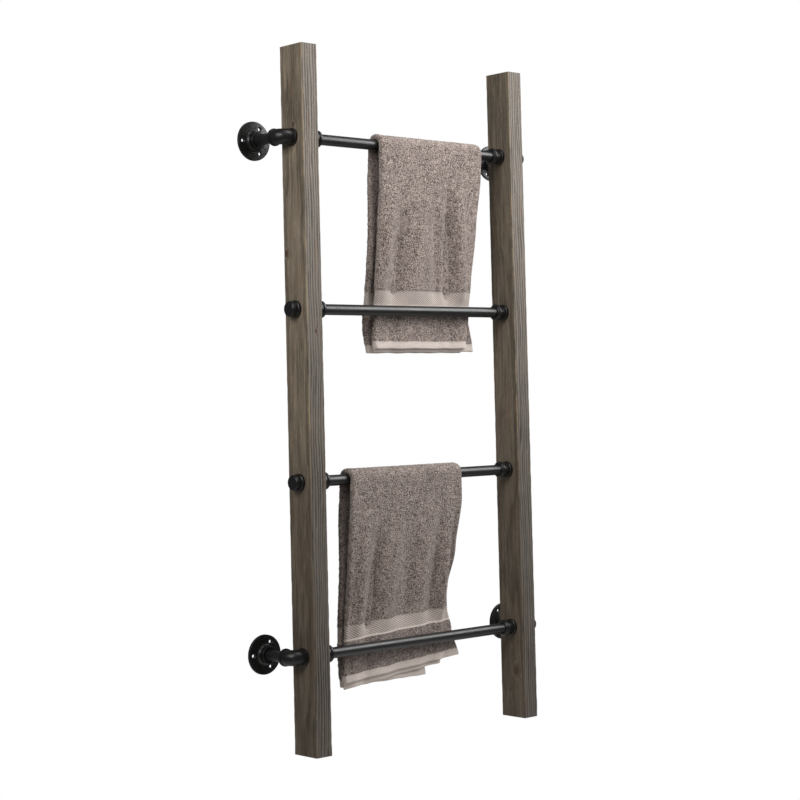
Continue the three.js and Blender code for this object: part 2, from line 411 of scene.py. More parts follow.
def pipe_look():
    """Satin black coating on drawn pipe: faint draw lines, a little dust and uneven gloss."""
    look = Look("black_pipe_satin")
    lines = look.noise(look.stretched(30, 900, 900), 1, 3, 0.6)
    cloud = look.noise(look.place, 45, 4, 0.6)
    grit = look.noise(look.place, 1500, 2)
    base = look.mix(cloud, colour(0.006, 0.006, 0.0065), colour(0.013, 0.0125, 0.012))
    gloss = look.total((look.ramp(cloud, 0.3, 0.7, 0.29, 0.38), 1), (lines, 0.05))
    look.set(base_color=base, roughness=gloss, specular=0.5)
    look.bump(look.total((lines, 0.5), (grit, 1)), 0.00006, 0.5)
    return look.material


def iron_look():
    """Matt black coating on sand-cast iron: coarse skin with worn, slightly brighter high spots."""
    look = Look("black_iron_cast")
    skin = look.noise(look.place, 700, 5, 0.65)
    lumps = look.noise(look.place, 160, 3)
    cloud = look.noise(look.place, 60, 3)
    base = look.mix(cloud, colour(0.003, 0.003, 0.003), colour(0.008, 0.0077, 0.0073))
    look.set(base_color=base, roughness=look.ramp(skin, 0.3, 0.7, 0.26, 0.44), specular=0.42)
    look.bump(look.total((skin, 1), (lumps, 1.5)), 0.0004, 0.5)
    return look.material


def knot_field(look, knots):
    """How near the surface is to any knot: 1 in its heart, falling to 0 around it."""
    nearest = None
    for centre, radius in knots:
        offset = look.vector("SUBTRACT", look.place, centre)
        flat = look.vector("MULTIPLY", offset, (1, 1, 0.7))
        near = look.ramp(look.vector("LENGTH", flat), radius * 2.6, radius * 0.25)
        nearest = near if nearest is None else look.math("MAXIMUM", nearest, near)
    return nearest


def growth_rings(look, pith, knot):
    """Light early wood and narrow dark late wood, in uneven rings round a pith beside the post."""
    sway = look.noise(look.stretched(9, 9, 2.2), 1, 3)
    wander = look.noise(look.stretched(90, 90, 6), 1, 2)
    from_pith = look.vector("MULTIPLY", look.vector("SUBTRACT", look.place, pith), (1, 1, 0))
    distance = look.vector("LENGTH", from_pith)
    bent = look.total((distance, 1), (sway, 0.03), (wander, 0.009), (knot, 0.012))
    phase = look.math("FRACT", look.math("DIVIDE", bent, RING_WIDTH))
    return look.math("MULTIPLY", look.ramp(phase, 0.1, 0.75), look.ramp(phase, 1.0, 0.82))


def worn_edges(look, box):
    """1 along the post's upright corners, falling to 0 a few millimetres in, broken up unevenly."""
    low, high = box
    offset = look.split(look.vector("SUBTRACT", look.place, (low + high) / 2))
    nearness = []
    for axis, half in (("X", (high.x - low.x) / 2), ("Y", (high.y - low.y) / 2)):
        reach = look.math("ABSOLUTE", offset[axis])
        nearness.append(look.ramp(reach, half - 0.0034, half - 0.0004))
    corner = look.math("MINIMUM", *nearness)
    broken = look.ramp(look.noise(look.stretched(60, 60, 16), 1, 3, 0.6), 0.42, 0.6)
    return look.math("MULTIPLY", corner, broken)


def grain_layers(look):
    """Fibres, threads and pores running up the post, and the blotches and flecks of its stain."""
    return {
        "fibres": look.noise(look.stretched(900, 900, 26), 1, 3, 0.65),
        "threads": look.noise(look.stretched(330, 330, 9), 1, 3, 0.6),
        "blotch": look.noise(look.stretched(26, 26, 7), 1, 3, 0.6),
        "fleck": look.ramp(look.noise(look.stretched(420, 420, 48), 1, 2), 0.6, 0.72),
        "pores": look.ramp(look.noise(look.stretched(700, 700, 36), 1, 2, 0.7), 0.36, 0.27),
    }


def grain_tone(look, rings, layers, side):
    """0 in the darkest grain and 1 in the palest. The rings are fainter on the side faces."""
    contrast = look.ramp(side, 0, 1, 1.0, 0.35, smooth=False)
    terms = [(look.math("MULTIPLY", rings, contrast), 0.62)]
    terms += [(layers[name], weight) for name, weight in GRAIN_WEIGHTS.items()]
    return look.ramp(look.total(*terms), 0.64, 1.42, smooth=False)


def stain_with_painted_light(look, tone, side, knot, box, shade_gains):
    """The stain: browner on the side faces and worn off the corners, with painted shade darkening it
    towards the foot and painted light paling it higher up.
    """
    height = look.split(look.place)["Z"]
    # Painted shade and light: the stain darkens towards the foot and pales higher up
    front_light_fade = look.ramp(height, *FRONT_LIGHT_FADE)
    side_light_fade = look.ramp(height, *SIDE_LIGHT_FADE)
    front_shaded_low, front_lit_high = look.between(tone, FRONT_SHADED_LOW), look.between(tone, FRONT_LIT_HIGH)
    # Each post's side tones are scaled by its own painted light and shade
    side_shaded_low = look.between(tone, SIDE_SHADED_LOW, shade_gains[0])
    side_lit_high = look.between(tone, SIDE_LIT_HIGH, shade_gains[1])
    front_stain_and_light = look.mix(front_light_fade, front_shaded_low, front_lit_high)
    stain = look.mix(side, front_stain_and_light, look.mix(side_light_fade, side_shaded_low, side_lit_high))
    warm = look.ramp(look.noise(look.stretched(75, 75, 10), 1, 2), 0.56, 0.72, 0, 0.4)
    stain = look.mix(warm, stain, look.between(side_light_fade, WARM_STAIN_AND_SHADE))
    worn = look.math("MULTIPLY", worn_edges(look, box), 0.7)
    stain = look.mix(worn, stain, look.between(side_light_fade, WORN_WOOD_AND_SHADE))
    return look.mix(look.ramp(knot, 0.3, 0.9, 0, 0.8), stain, colour(*KNOT_STAIN))


def timber_look(name, box, pith, knots, shade_gains):
    """Weathered softwood with a grey-brown stain, its grain running up the post.

    The rings cut the front face into narrow streaks and run broad and quiet on the side faces.
    """
    look = Look(name)
    knot = knot_field(look, knots)
    rings = growth_rings(look, pith, knot)
    layers = grain_layers(look)
    normal = look.split(look.add("ShaderNodeNewGeometry").outputs["True Normal"])
    side = look.ramp(look.math("ABSOLUTE", normal["X"]), 0.2, 0.8)
    tone = grain_tone(look, rings, layers, side)
    stain = stain_with_painted_light(look, tone, side, knot, box, shade_gains)
    dryness = look.ramp(tone, 0, 1, 0.6, 0.8, smooth=False)
    look.set(base_color=stain, roughness=dryness, specular=0.35)
    relief = [(rings, 0.8)] + [(layers[key], weight) for key, weight in RELIEF_WEIGHTS.items()]
    look.bump(look.total(*relief), 0.0006, 0.7)
    return look.material


def flat_parts(look, cloth, ragged):
    """1 in the cloth's hems, and 1 in its hems and woven bands, where there is no pile."""
    hem_way = look.math("ADD", cloth["Z"], look.math("MULTIPLY", ragged, 0.009))
    in_hem = look.ramp(hem_way, HEM_HEIGHT + FLAT_EDGE, HEM_HEIGHT - FLAT_EDGE)
    over_low = look.ramp(cloth["Z"], BAND_LOW - FLAT_EDGE, BAND_LOW + FLAT_EDGE)
    under_high = look.ramp(hem_way, BAND_HIGH + FLAT_EDGE, BAND_HIGH - FLAT_EDGE)
    return in_hem, look.math("MAXIMUM", in_hem, look.math("MULTIPLY", over_low, under_high))


def terry_pile(look):
    """The pile's height: small loops in uneven tufts."""
    values = {"Vector": look.place, "Scale": 460.0}
    loops = look.add("ShaderNodeTexVoronoi", values, feature="SMOOTH_F1")
    loop_top = look.ramp(loops.outputs["Distance"], 0.75, 0.1)
    loop_tone = look.split(loops.outputs["Color"])["X"]
    tufts = look.ramp(look.noise(look.place, 380, 3, 0.6), 0.34, 0.66)
    return look.total((loop_top, 0.3), (loop_tone, 0.2), (tufts, 0.5))


def twill_ribs(look, cloth, in_hem, pitch):
    """Slanting ribs of the woven band, fainter in the hems and 0 on the band's plain selvedge."""
    slant = look.total((cloth["X"], TWILL_SLANT), (cloth["Y"], 1))
    wave = look.math("SINE", look.math("MULTIPLY", slant, math.tau / pitch))
    twill = look.math("MULTIPLY_ADD", wave, 0.5, 0.5)
    plain_top = BAND_LOW + SELVEDGE
    plain = look.ramp(cloth["Z"], plain_top + 2 * FLAT_EDGE, plain_top)
    plain = look.math("MULTIPLY", plain, look.math("SUBTRACT", 1.0, in_hem))
    missing = look.math("MAXIMUM", plain, look.math("MULTIPLY", in_hem, HEM_RIBS))
    return look.math("MULTIPLY", twill, look.math("SUBTRACT", 1.0, missing))


def pile_colour_with_shade(look, pile, painted_light_gain):
    patch = look.ramp(look.noise(look.place, 85, 4, 0.6), 0.3, 0.7)
    # The colour follows the pile's height: painted shade in the dips between the loops, paler loop
    # tops, and random patches
    tone = look.ramp(look.total((pile, 1), (patch, 0.2)), 0.22, 0.95, smooth=False)
    # The gain scales both tones, painting light and shade on the whole towel
    return look.between(tone, PILE_TONES_WITH_SHADE, painted_light_gain)


def weave_colour(look, weave, rib, in_hem):
    pucker = look.math("MULTIPLY", look.noise(look.place, 210, 2, 0.6), in_hem)
    terms = [(weave, 1.2), (rib, -0.75), (pucker, 0.3)]
    return look.between(look.ramp(look.total(*terms), -0.42, 0.9, smooth=False), WEAVE_TONES)


def terry_look(name, painted_light_gain, twill_pitch):
    """Taupe cotton terry with a flat twill band and flat hems. A gain on its pile colour paints light
    and shade on the whole towel.

    The mesh carries each point's place on the flat cloth in the attribute cloth_place: X across,
    Y along from one hem, Z the distance to the nearer hem.
    """
    look = Look(name)
    attribute = look.add("ShaderNodeAttribute", attribute_name="cloth_place")
    cloth = look.split(attribute.outputs["Vector"])
    ragged = look.math("SUBTRACT", look.noise(look.place, 300, 3, 0.6), 0.5)
    in_hem, flat = flat_parts(look, cloth, ragged)
    pile = terry_pile(look)
    terry = pile_colour_with_shade(look, pile, painted_light_gain)
    rib = twill_ribs(look, cloth, in_hem, twill_pitch)
    weave = look.noise(look.place, 650, 3, 0.7)
    woven = weave_colour(look, weave, rib, in_hem)
    look.set(base_color=look.mix(flat, terry, woven), roughness=0.92, specular=0.2)
    look.set(sheen=0.25, sheen_roughness=0.5)

    piled = look.math("MULTIPLY", pile, look.math("SUBTRACT", 1.0, flat))
    woven_height = look.math("MULTIPLY", look.total((weave, 0.5), (rib, -0.3)), flat)
    look.bump(look.total((piled, 1), (woven_height, 0.5)), 0.003, 0.95)
    return look.material


def floor_look():
    look = Look("pale_floor")
    grain = look.noise(look.place, 6, 4)
    base = look.mix(grain, colour(0.78, 0.78, 0.77), colour(0.82, 0.82, 0.81))
    look.set(base_color=base, roughness=0.7)
    return look.material


# Pipes and fittings


def add_pipe(node, material):
    """A plain pipe along its longest side, its ends slightly chamfered."""
    low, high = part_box(node)
    size = high - low
    axis = max(range(3), key=lambda index: size[index])
    radius = min(size) / 2
    inner = radius - PIPE_WALL
    start = (low + high) / 2
    start[axis] = low[axis]
    chamfer = PIPE_WALL / 4
    profile = [
        (inner, 0, 0),
        (radius - chamfer, 0, 0),
        (radius, chamfer, 0),
        (radius, size[axis] - chamfer, 0),
        (radius - chamfer, size[axis], 0),
        (inner, size[axis], 0),
    ]
    direction = [0, 0, 0]
    direction[axis] = 1
    pipe = turned(node + "_pipe", profile, facing(start, direction))
    finish_piece(pipe, "rack", node, material)


def end_bead():
    """Profile of the bead round a fitting's open end at 0, down to its body."""
    return [
        (SOCKET_RADIUS, 0, 0),
        (BEAD_RADIUS, 0, 0.0012),
        (BEAD_RADIUS, BEAD_WIDTH, 0.0015),
        (BODY_RADIUS, BEAD_WIDTH + BEAD_SLOPE, 0.0006),
    ]


def add_coupling(node, sign, material):
    """A coupling from the post's inner face to its tapered mouth."""
    low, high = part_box(node)
    length = high.x - low.x
    bead_end = length - MOUTH_TAPER
    bead_start = bead_end - BEAD_WIDTH + BEAD_SLOPE
    profile = end_bead() + [
        (BODY_RADIUS, bead_start - MOUTH_SLOPE, 0.0006),
        (BEAD_RADIUS, bead_start, 0.001),
        (BEAD_RADIUS, bead_end, 0.0008),
        (MOUTH_RADIUS, length, 0.0005),
        (SOCKET_RADIUS, length, 0),
    ]
    start = middle(node)
    start.x = high.x if sign > 0 else low.x
    coupling = turned(node + "_casting", profile, facing(start, (-sign, 0, 0)))
    finish_piece(coupling, "rack", node, material)


def add_cap(node, sign, material):
    """A blind cap on the post's outer face."""
    low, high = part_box(node)
    length = high.x - low.x
    profile = [(AXIS_TIP, SOCKET_DEPTH, 0), (SOCKET_RADIUS, SOCKET_DEPTH, 0)] + end_bead()
    profile += [
        (BODY_RADIUS, length - CAP_EDGE, CAP_EDGE),
        (CAP_END_RADIUS, length, CAP_EDGE / 2),
        (AXIS_TIP, length - CAP_EDGE / 5, 0),
    ]
    start = middle(node)
    start.x = low.x if sign > 0 else high.x
    cap = turned(node + "_casting", profile, facing(start, (sign, 0, 0)))
    finish_piece(cap, "rack", node, material)


def straight_end(reach):
    """Distances from the corner down one straight end of an elbow, from its open end inwards."""
    steps = 8
    bead = [reach - BEAD_WIDTH * step / steps for step in range(steps + 1)]
    foot = reach - BEAD_WIDTH - BEAD_SLOPE
    return bead + [foot, (foot + BEND_RADIUS) / 2]


def bend_stations(reach):
    """Points and directions down an elbow, from its open end on +X, round to its open end on +Y."""
    steps = 16
    first = [(Vector((a, 0, 0)), Vector((-1, 0, 0)), reach - a) for a in straight_end(reach)]
    bend = []
    for step in range(steps + 1):
        angle = math.pi / 2 * step / steps
        point = Vector((1 - math.sin(angle), 1 - math.cos(angle), 0)) * BEND_RADIUS
        bend.append((point, Vector((-math.cos(angle), math.sin(angle), 0)), None))
    last = [(Vector((0, p.x, 0)), Vector((0, 1, 0)), depth) for p, _, depth in reversed(first)]
    return first + bend + last


def elbow_radius(depth):
    """The elbow's outer radius at a depth from the nearer open end."""
    if depth is None or depth > BEAD_WIDTH + BEAD_SLOPE:
        return BODY_RADIUS
    corner = 0.0012
    edge = min(depth, max(BEAD_WIDTH - depth, 0.0))
    lift = 1.0 if edge >= corner else math.sqrt(max(0.0, 1 - (1 - edge / corner) ** 2))
    floor = BODY_RADIUS if depth > BEAD_WIDTH / 2 else BEAD_RADIUS - corner
    return floor + (BEAD_RADIUS - floor) * lift


def elbow_rings(reach):
    """Ring centres, directions and radii of the elbow's skin, with a blind socket at either end."""
    stations = bend_stations(reach)
    rings = [(point, way, elbow_radius(depth)) for point, way, depth in stations]
    start, start_way, _ = stations[0]
    end, end_way, _ = stations[-1]
    start_floor = start + start_way * SOCKET_DEPTH
    end_floor = end - end_way * SOCKET_DEPTH
    opening = [
        (start_floor, start_way, AXIS_TIP),
        (start_floor, start_way, SOCKET_RADIUS),
        (start, start_way, SOCKET_RADIUS),
    ]
    closing = [
        (end, end_way, SOCKET_RADIUS),
        (end_floor, end_way, SOCKET_RADIUS),
        (end_floor, end_way, AXIS_TIP),
    ]
    return opening + rings + closing


def add_elbow(node, arm_node, sign, material):
    """A quarter bend from the post's outer face round to the wall arm."""
    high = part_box(node)[1]
    arm = middle(arm_node)
    corner = Vector((arm.x, middle("rung_1").y, arm.z))
    turn = Matrix.Rotation(math.pi / 2 if sign > 0 else 0, 4, "Z")
    matrix = Matrix.Translation(corner) @ turn
    vertices = []
    rings = elbow_rings(high.y - corner.y)
    for centre, way, radius in rings:
        out = Vector((-way.y, way.x, 0))
        for step in range(ROUND):
            angle = math.tau * step / ROUND
            offset = out * math.cos(angle) + Vector((0, 0, math.sin(angle)))
            vertices.append(matrix @ (centre + offset * radius))
    faces = [f for f in grid_faces(len(rings), ROUND) if f[0] < (len(rings) - 1) * ROUND]
    elbow = new_object(node + "_casting", vertices, faces)
    tidy_mesh(elbow)
    finish_piece(elbow, "rack", node, material)


def screw_tool(place, direction):
    """A cutter for one screw hole, countersunk on the room side."""
    mouth = SCREW_COUNTERSINK + PAST / 2
    profile = [
        (AXIS_TIP, -PAST, 0),
        (SCREW_HOLE, -PAST, 0),
        (SCREW_HOLE, FLANGE_THICKNESS - (SCREW_COUNTERSINK - SCREW_HOLE), 0),
        (mouth, FLANGE_THICKNESS + PAST / 2, 0),
        (AXIS_TIP, FLANGE_THICKNESS + PAST / 2, 0),
    ]
    return turned("screw_cutter", profile, facing(place, direction))


def add_flange(node, sign, material):
    """A wall flange with a stepped hub and three screw holes, one pointing away from the post."""
    low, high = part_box(node)
    radius = (high.x - low.x) / 2
    height = high.y - low.y
    profile = [
        (SOCKET_RADIUS, 0, 0),
        (radius, 0, 0.0004),
        (radius, FLANGE_THICKNESS, 0.0012),
        (HUB_BASE_RADIUS, FLANGE_THICKNESS, 0.002),
        (HUB_WAIST_RADIUS, FLANGE_THICKNESS + HUB_FOOT, 0.0015),
        (HUB_WAIST_RADIUS, height - BEAD_WIDTH, 0.0006),
        (BEAD_RADIUS, height - BEAD_WIDTH + BEAD_SLOPE, 0.0008),
        (BEAD_RADIUS, height, 0.0014),
        (SOCKET_RADIUS, height, 0),
    ]
    centre = middle(node)
    centre.y = high.y
    flange = turned(node + "_casting", profile, facing(centre, (0, -1, 0)))
    cutters = []
    for index in range(SCREW_COUNT):
        angle = math.tau * index / SCREW_COUNT
        offset = Vector((sign * math.cos(angle), 0, math.sin(angle))) * SCREW_CIRCLE
        cutters.append(screw_tool(centre + offset, (0, -1, 0)))
    cut(flange, cutters)
    tidy_mesh(flange)
    finish_piece(flange, "rack", node, material)


# Posts


def post_section(width, depth):
    """Points round a post's section, with rounded corners and even steps along the sides."""
    corner_steps = 4
    points = []
    for quarter in range(4):
        side_x = 1 if quarter in (0, 3) else -1
        side_y = 1 if quarter in (0, 1) else -1
        centre = Vector((side_x * (width / 2 - POST_EDGE), side_y * (depth / 2 - POST_EDGE)))
        for part in range(corner_steps + 1):
            turn = math.pi / 2 * (quarter + part / corner_steps)
            points.append(centre + Vector((math.cos(turn), math.sin(turn))) * POST_EDGE)
        length = (width if quarter in (0, 2) else depth) - 2 * POST_EDGE
        run = Vector((-math.sin(turn), math.cos(turn)))
        count = round(length / SECTION_STEP)
        last = points[-1]
        points += [last + run * (length * part / count) for part in range(1, count)]
    return points


def chipped(point, half, height, seed):
    """Moves a point near a post's corner inwards by a small uneven amount."""
    to_side = half.x - abs(point.x)
    to_face = half.y - abs(point.y)
    near = max(0.0, 1 - (to_side + to_face) / (3 * POST_EDGE))
    if near == 0:
        return point
    corner = Vector((math.copysign(1, point.x), math.copysign(1, point.y), 0))
    place = Vector((corner.x * 3 + seed, corner.y * 5, height * CHIP_WAVES))
    wear = max(0.0, noise.noise(place) + 0.35) + 0.5 * max(0.0, noise.noise(place * 4))
    return point - Vector((corner.x, corner.y)) * near * wear * EDGE_CHIP


def add_post(side, sign, material):
    node = f"post_{side}"
    low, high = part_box(node)
    centre = (low + high) / 2
    size = high - low
    half = Vector((size.x / 2, size.y / 2))
    section = post_section(size.x, size.y)
    heights = np.linspace(low.z, high.z, round(size.z / POST_ROW) + 1)
    vertices = []
    for height in heights:
        for point in section:
            worn = chipped(point, half, height, sign)
            vertices.append((centre.x + worn.x, centre.y + worn.y, height))
    count = len(section)
    faces = [f for f in grid_faces(len(heights), count) if f[0] < (len(heights) - 1) * count]
    faces.append(tuple(range(count)))
    faces.append(tuple(range(len(vertices) - count, len(vertices))))
    post = new_object(node + "_timber", vertices, faces)
    tidy_mesh(post)
    cut(post, [bore_tool(centre.x, number, size.x) for number in RUNGS])
    tidy_mesh(post, math.radians(50))
    finish_piece(post, "rack", node, material)


def bore_tool(x, number, width):
    rung = middle(f"rung_{number}")
    length = width * 1.2
    profile = [
        (AXIS_TIP, 0, 0),
        (POST_BORE, 0, 0),
        (POST_BORE, length, 0),
        (AXIS_TIP, length, 0),
    ]
    return turned("bore_cutter", profile, facing(Vector((x - length / 2, rung.y, rung.z)), (1, 0, 0)))


# Towels


def ease(value, low, high):
    t = np.clip((value - low) / (high - low), 0, 1)
    return t * t * (3 - 2 * t)


def follow(depth, knots):
    """Smooth interpolation through (depth, value) pairs."""
    places = np.array([k[0] for k in knots])
    values = np.array([k[1] for k in knots])
    spans = np.clip(np.searchsorted(places, depth) - 1, 0, len(knots) - 2)
    start, end = places[spans], places[spans + 1]
    t = np.clip((depth - start) / (end - start), 0, 1)
    return values[spans] + (values[spans + 1] - values[spans]) * t * t * (3 - 2 * t)


def hanging_line(drop, pitch):
    """Points (y, z) from the rung's axis down the middle of the folded towel, from hem to hem."""
    down = np.linspace(drop, 0, 300)
    lean = down / pitch
    slope = np.clip(lean, 0, 1)
    mixed = 0.5 * slope + 0.5 * slope * slope * (3 - 2 * slope)
    front_y = -STACK_MIDDLE + 2 * STACK_MIDDLE * mixed
    front = np.stack([front_y, -down], 1)
    turn = np.linspace(math.pi, 0, 60)[1:-1]
    over = np.stack([STACK_MIDDLE * np.cos(turn), STACK_MIDDLE * np.sin(turn)], 1)
    back_down = down[::-1]
    back_y = STACK_MIDDLE + (BACK_HELD - STACK_MIDDLE) * ease(back_down, FLAPS_MEET * 0.8, pitch)
    back = np.stack([back_y, -back_down], 1)
    return np.concatenate([front, over, back])


def resample(points, step):
    """Even steps along a line: the distance, the point and the unit normal away from the rung."""
    lengths = np.concatenate([[0], np.cumsum(np.linalg.norm(np.diff(points, axis=0), axis=1))])
    count = int(round(lengths[-1] / step)) + 1
    along = np.linspace(0, lengths[-1], count)
    line = np.stack([np.interp(along, lengths, points[:, k]) for k in range(2)], 1)
    tangent = np.gradient(line, axis=0)
    tangent /= np.linalg.norm(tangent, axis=1)[:, None]
    normal = np.stack([-tangent[:, 1], tangent[:, 0]], 1)
    return along, line, normal


def folded_section(width, step):
    """Across the cloth: from the inner free edge left to the fold and back to the outer free edge.

    Returns the flat distance, the place across (0 at the right, 1 at the fold) and the height of
    the layer from the middle of the two.
    """
    radius = LAYER_SPACE / 2
    run = width - radius
    bend = math.pi * radius
    total = 2 * run + bend
    count = int(round(total / step)) + 1
    flat = np.linspace(0, total, count)
    turn = np.clip((flat - run) / bend, 0, 1) * math.pi
    across = np.where(flat < run, flat, np.where(flat > run + bend, total - flat, run))
    across = across + radius * np.sin(turn)
    height = -radius * np.cos(turn)
    return flat, across / width, height


# Outlines are (depth below the rung, distance along it from the towel's middle) pairs: the front
# flap's left and right edges, what its inner layer's right edge is set off by, and the back flap's
# edges, its right one set off from the front's. Creases are the distance at the rung, the distance
# lower down, half-width and lift.
UPPER = {
    "node": "upper_towel",
    "body": "upper_towel_body",
    "rung": 1,
    "cloth": "taupe_terry_upper",
    # Gain on the pile colour: painted light, paling the whole upper towel
    "painted_light_gain": 1.1,
    "twill_pitch": 0.0045,
    "left": [
        (0, -0.136),
        (0.1, -0.133),
        (0.215, -0.134),
        (0.3, -0.136),
        (0.35, -0.137),
        (0.39, -0.141),
        (0.42, -0.135),
    ],
    "right": [(0, 0.143), (0.05, 0.142), (0.15, 0.138), (0.27, 0.13), (0.34, 0.125), (0.42, 0.111)],
    "inner_right": [(0, 0), (0.33, 0.0), (0.42, 0.03)],
    "back_left": [(0, -0.136), (0.1, -0.141), (0.27, -0.145), (0.36, -0.153), (0.42, -0.145)],
    "back_right": [(0, 0), (0.42, 0.0)],
    "hem_left": 0.406,
    "hem_right": 0.406,
    "inner_drop": 0.006,
    "back_drop": 0.008,
    "creases": [
        (-0.097, -0.115, 0.016, 0.0075),
        (-0.067, -0.077, 0.016, -0.0065),
        (-0.017, -0.025, 0.024, 0.0055),
        (0.013, 0.028, 0.014, -0.0050),
        (0.048, 0.061, 0.013, -0.0095),
        (0.073, 0.093, 0.014, 0.0075),
    ],
}
LOWER = {
    "node": "lower_towel",
    "body": "lower_towel_body",
    "rung": 3,
    "cloth": "taupe_terry_lower",
    # Gain on the pile colour: painted shade, darkening the whole lower towel
    "painted_light_gain": 0.93,
    "twill_pitch": 0.0051,
    "left": [
        (0, -0.146),
        (0.18, -0.145),
        (0.28, -0.146),
        (0.34, -0.148),
        (0.38, -0.154),
        (0.42, -0.148),
    ],
    "right": [
        (0, 0.147),
        (0.05, 0.149),
        (0.15, 0.142),
        (0.25, 0.128),
        (0.3, 0.129),
        (0.35, 0.138),
        (0.42, 0.158),
    ],
    "inner_right": [(0, 0), (0.25, 0.0), (0.33, -0.014), (0.4, -0.046), (0.42, -0.05)],
    "back_left": [(0, -0.146), (0.1, -0.152), (0.22, -0.153), (0.34, -0.152), (0.42, -0.148)],
    "back_right": [(0, 0), (0.25, 0.0), (0.34, -0.03), (0.4, -0.082), (0.42, -0.085)],
    "hem_left": 0.396,
    "hem_right": 0.372,
    "inner_drop": 0.012,
    "back_drop": 0.008,
    "creases": [
        (-0.102, -0.114, 0.014, 0.0075),
        (-0.067, -0.08, 0.013, -0.0080),
        (-0.022, -0.037, 0.02, 0.0050),
        (0.023, 0.008, 0.02, -0.0045),
        (0.058, 0.05, 0.022, 0.0035),
        (0.093, 0.083, 0.014, -0.0045),
        (0.118, 0.108, 0.012, 0.0080),
        (0.138, 0.126, 0.008, -0.0060),
    ],
}


def crease_height(along_rung, depth, creases):
    """Soft upright creases, growing below the rung and nearly flat behind the next rung."""
    total = np.zeros_like(along_rung)
    for top, bottom, width, lift in creases:
        centre = top + (bottom - top) * depth / FLAPS_MEET
        total += lift * np.exp(-(((along_rung - centre) / width) ** 2))
    held = 1 - HELD_CREASES * ease(depth, *HELD_FLAT)
    return CREASE_GAIN * total * ease(depth, *CREASE_STARTS) * held


def noise_field(points, scale, seed):
    """Noise at every point of a grid, at one scale along each axis."""
    flat = points.reshape(-1, 3) * np.array(scale)
    values = [noise.noise(Vector(point) + Vector((seed, 0, 0))) for point in flat]
    return np.array(values).reshape(points.shape[:2])


def place_across(towel, is_front, outer, depth, share):
    """Each point's distance from the towel's middle, from the flap's right edge to its left one."""
    left = np.where(is_front, follow(depth, towel["left"]), follow(depth, towel["back_left"]))
    right = follow(depth, towel["right"])
    right = right + np.where(is_front & ~outer, follow(depth, towel["inner_right"]), 0)
    right = right + np.where(is_front, 0, follow(depth, towel["back_right"]))
    return right + (left - right) * share


def hem_depth(towel, is_front, outer, x, share):
    """How far below the rung the hem under each point hangs."""
    hem = towel["hem_left"] + (towel["hem_right"] - towel["hem_left"]) * (1 - share)
    hem = hem + np.where(outer, 0, towel["inner_drop"])
    hem = np.where(is_front, hem, towel["hem_left"] + towel["back_drop"])
    waver = noise_field(np.stack([x, x * 0, x * 0], 2), HEM_WAVES, towel["rung"])
    return hem + HEM_WAVER * waver


def cloth_lift(towel, is_front, along_rung, x, depth):
    """Creases and soft swells that push the cloth off its plain hanging line."""
    swell = noise_field(np.stack([x, depth, depth * 0], 2), SWELL_WAVES, towel["rung"])
    held = 1 - HELD_SWELL * ease(depth, *HELD_FLAT)
    swell = SWELL * swell * ease(depth, *SWELL_STARTS) * held
    lift = crease_height(along_rung, depth, towel["creases"]) + swell
    return np.where(is_front, lift, lift * BACK_LIFT)


def towel_surface(towel):
    """The cloth's middle surface as a grid of points, and each point's place on the flat cloth."""
    rung = middle(f"rung_{towel['rung']}")
    pitch = middle("rung_1").z - middle("rung_2").z
    low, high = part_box(towel["node"])
    width = high.x - low.x
    drop = rung.z - low.z
    along, line, normal = resample(hanging_line(drop, pitch), TOWEL_STEP)
    flat, across, height = folded_section(width, TOWEL_STEP)

    share = across[None, :]
    whole = np.ones((len(along), len(flat)))
    is_front = (along < along[-1] / 2)[:, None]
    outer = (height > 0)[None, :]
    depth = np.clip(-line[:, 1], 0, None)[:, None] * whole
    along_rung = place_across(towel, is_front, outer, depth, share)
    x = (low.x + high.x) / 2 + along_rung
    hem = hem_depth(towel, is_front, outer, x, share)
    stretch = 1 + (hem / drop - 1) * ease(depth, 0.05, drop)
    z = np.where(line[:, 1:2] < 0, line[:, 1:2] * stretch, line[:, 1:2])

    puff = 1 + FOLD_PUFF / LAYER_SPACE * np.exp(-(((1 - share) * width / PUFF_REACH) ** 2))
    lift = cloth_lift(towel, is_front, along_rung, x, depth)
    offset = height[None, :] * puff + lift
    y = line[:, 0:1] + normal[:, 0:1] * offset
    z = z + normal[:, 1:2] * offset
    points = np.stack([x, y + rung.y, z + rung.z], 2)

    nearest = np.minimum(along, along[-1] - along)[:, None]
    cloth = np.stack([flat[None, :] * whole, along[:, None] * whole, nearest * whole], 2)
    return points, cloth


def cloth_thickness(nearest):
    """Terry is thick, and the hem and the woven band are thin."""
    edge = 0.0016
    hem = 1 - ease(nearest, HEM_HEIGHT - edge, HEM_HEIGHT + edge)
    band = ease(nearest, BAND_LOW - edge, BAND_LOW + edge)
    band = band * (1 - ease(nearest, BAND_HIGH - edge, BAND_HIGH + edge))
    return TERRY_THICKNESS + (FLAT_THICKNESS - TERRY_THICKNESS) * np.maximum(hem, band)


def surface_normals(points):
    first = np.gradient(points, axis=0)
    second = np.gradient(points, axis=1)
    normal = np.cross(first, second)
    return normal / np.linalg.norm(normal, axis=2)[:, :, None]


def edge_taper(shape):
    """Thins the cloth to a rounded edge all round its rim."""
    rows = np.minimum(np.arange(shape[0]), np.arange(shape[0])[::-1])[:, None]
    columns = np.minimum(np.arange(shape[1]), np.arange(shape[1])[::-1])[None, :]
    inset = np.minimum(rows, columns)
    return np.where(inset == 0, RIM_SHARES[0], np.where(inset == 1, RIM_SHARES[1], 1.0))


